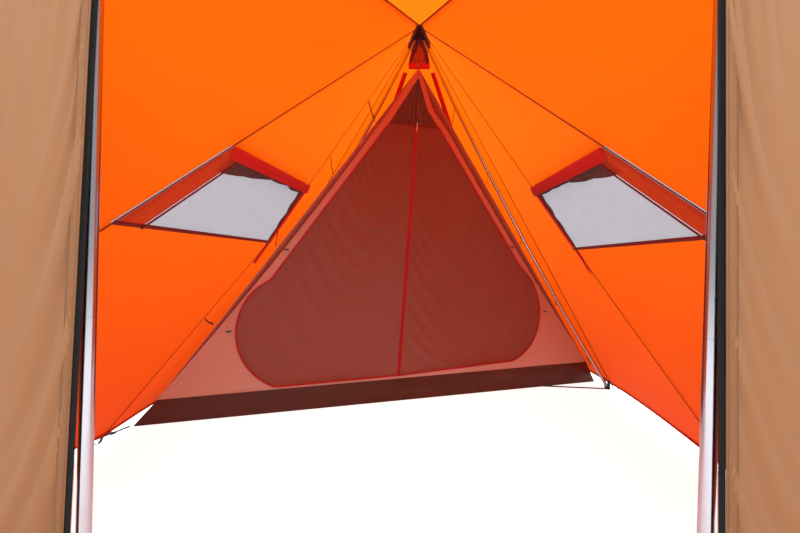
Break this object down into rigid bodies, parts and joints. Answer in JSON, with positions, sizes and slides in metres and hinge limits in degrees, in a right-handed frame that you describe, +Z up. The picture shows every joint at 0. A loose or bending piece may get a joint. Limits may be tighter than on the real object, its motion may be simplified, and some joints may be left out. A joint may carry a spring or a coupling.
{
  "type": "dome tent",
  "caption": "Two-room pyramid tent: orange fly on an A-frame, tan front wall with two uprights and an open entrance, side windows, and an inner tent with a zipped door and tub floor.",
  "frame": {"origin": "on the ground, halfway between the A-frame's two feet", "axes": "+Z up, +Y from the entrance to the back, +X to the right when looking in"},
  "size_m": [2.6296, 3.8207, 2.2912],
  "materials": {
    "fly_orange": "coated ripstop",
    "window_film": "clear film, frosted",
    "red_trim": "woven",
    "cover_brown": "woven",
    "front_tan": "woven ripstop",
    "pole_aluminium": "bright anodised",
    "inner_salmon": "fine woven",
    "door_brown": "fine woven",
    "vent_mesh": "mesh",
    "tub_brown": "coated woven",
    "black_webbing": "webbing",
    "steel": "satin",
    "black_rubber": "matt",
    "zip_metal": "satin",
    "pull_beige": "cord and moulded end",
    "zip_black": "zip tape",
    "black_plastic": "moulded"
  },
  "bodies": {
    "tent": {"apex_hub": "black_plastic", "apex_patch": "red_trim", "base_strap": "black_webbing", "corner_strap": "black_webbing", "door_toggles": "black_plastic", "fly_back": "fly_orange", "fly_lower_left": "fly_orange", "fly_lower_right": "fly_orange", "fly_rear_side_left": "fly_orange", "fly_rear_side_right": "fly_orange", "fly_roof_front": "fly_orange", "fly_roof_left": "fly_orange", "fly_roof_right": "fly_orange", "fly_side_left": "fly_orange", "fly_side_right": "fly_orange", "fly_upper_left": "fly_orange", "fly_upper_right": "fly_orange", "foot_webbing": "black_webbing", "front_door_roll": "front_tan", "front_door_ties": "front_tan", "front_header": "front_tan", "front_wall_left": "front_tan", "front_wall_right": "front_tan", "front_zip_tapes": "zip_black", "inner_border_left": "inner_salmon", "inner_border_right": "inner_salmon", "inner_hangers": "black_webbing", "inner_hooks": "black_plastic", "inner_sill": "inner_salmon", "inner_vent_mesh": "vent_mesh", "inner_wall_back": "inner_salmon", "inner_wall_left": "inner_salmon", "inner_wall_right": "inner_salmon", "leg_left": "pole_aluminium", "leg_right": "pole_aluminium", "peg_rings": "steel", "pole_feet": "black_rubber", "pole_spigots": "pole_aluminium", "tub_floor": "tub_brown", "tub_walls": "tub_brown", "upright_lower_left": "pole_aluminium", "upright_lower_right": "pole_aluminium", "upright_tips": "steel", "upright_upper_left": "pole_aluminium", "upright_upper_right": "pole_aluminium", "webbing_tabs": "black_webbing", "window_cover_left": "cover_brown", "window_cover_right": "cover_brown", "window_film_left": "window_film", "window_film_right": "window_film", "window_frame_left": "red_trim", "window_frame_right": "red_trim"},
    "inner_door_left": {"inner_door_left": "door_brown"},
    "inner_door_right": {"inner_door_right": "door_brown"},
    "inner_zip_slider": {"inner_zip_slider": "zip_metal"},
    "inner_zip_pull": {"inner_zip_pull": "pull_beige"},
    "front_slider_left": {"front_slider_left": "zip_metal"},
    "front_slider_right": {"front_slider_right": "zip_metal"},
    "corner_buckle": {"corner_buckle": "black_plastic"}
  },
  "joints": [
    {"name": "inner_door_left_open", "type": "hinge", "parent": "tent", "child": "inner_door_left", "pos_m": [-0.70691, -0.63414, 0.65206], "axis": [-0.4721, -0.3509, -0.8087], "range_deg": [0, 100]},
    {"name": "inner_door_right_open", "type": "hinge", "parent": "tent", "child": "inner_door_right", "pos_m": [0.68739, 0.02935, 0.75348], "axis": [-0.5375, -0.1132, 0.8356], "range_deg": [0, 60]},
    {"name": "inner_zip_run", "type": "slide", "parent": "tent", "child": "inner_zip_slider", "axis": [-0.0375, -0.1777, -0.9834], "range_m": [0, 1.44]},
    {"name": "inner_zip_pull_swing", "type": "hinge", "parent": "inner_zip_slider", "child": "inner_zip_pull", "pos_m": [0.00598, -0.15363, 1.61705], "axis": [-0.9084, -0.404, 0.1076], "range_deg": [0, 120]},
    {"name": "front_zip_left_run", "type": "slide", "parent": "tent", "child": "front_slider_left", "axis": [-0.0304, 0, -0.9995], "range_m": [0, 1.47]},
    {"name": "front_zip_right_run", "type": "slide", "parent": "tent", "child": "front_slider_right", "axis": [0.0304, 0, -0.9995], "range_m": [0, 1.47]},
    {"name": "corner_buckle_slide", "type": "slide", "parent": "tent", "child": "corner_buckle", "axis": [-0.0973, -0.9929, 0.0681], "range_m": [-0.03, 0.05]}
  ]
}
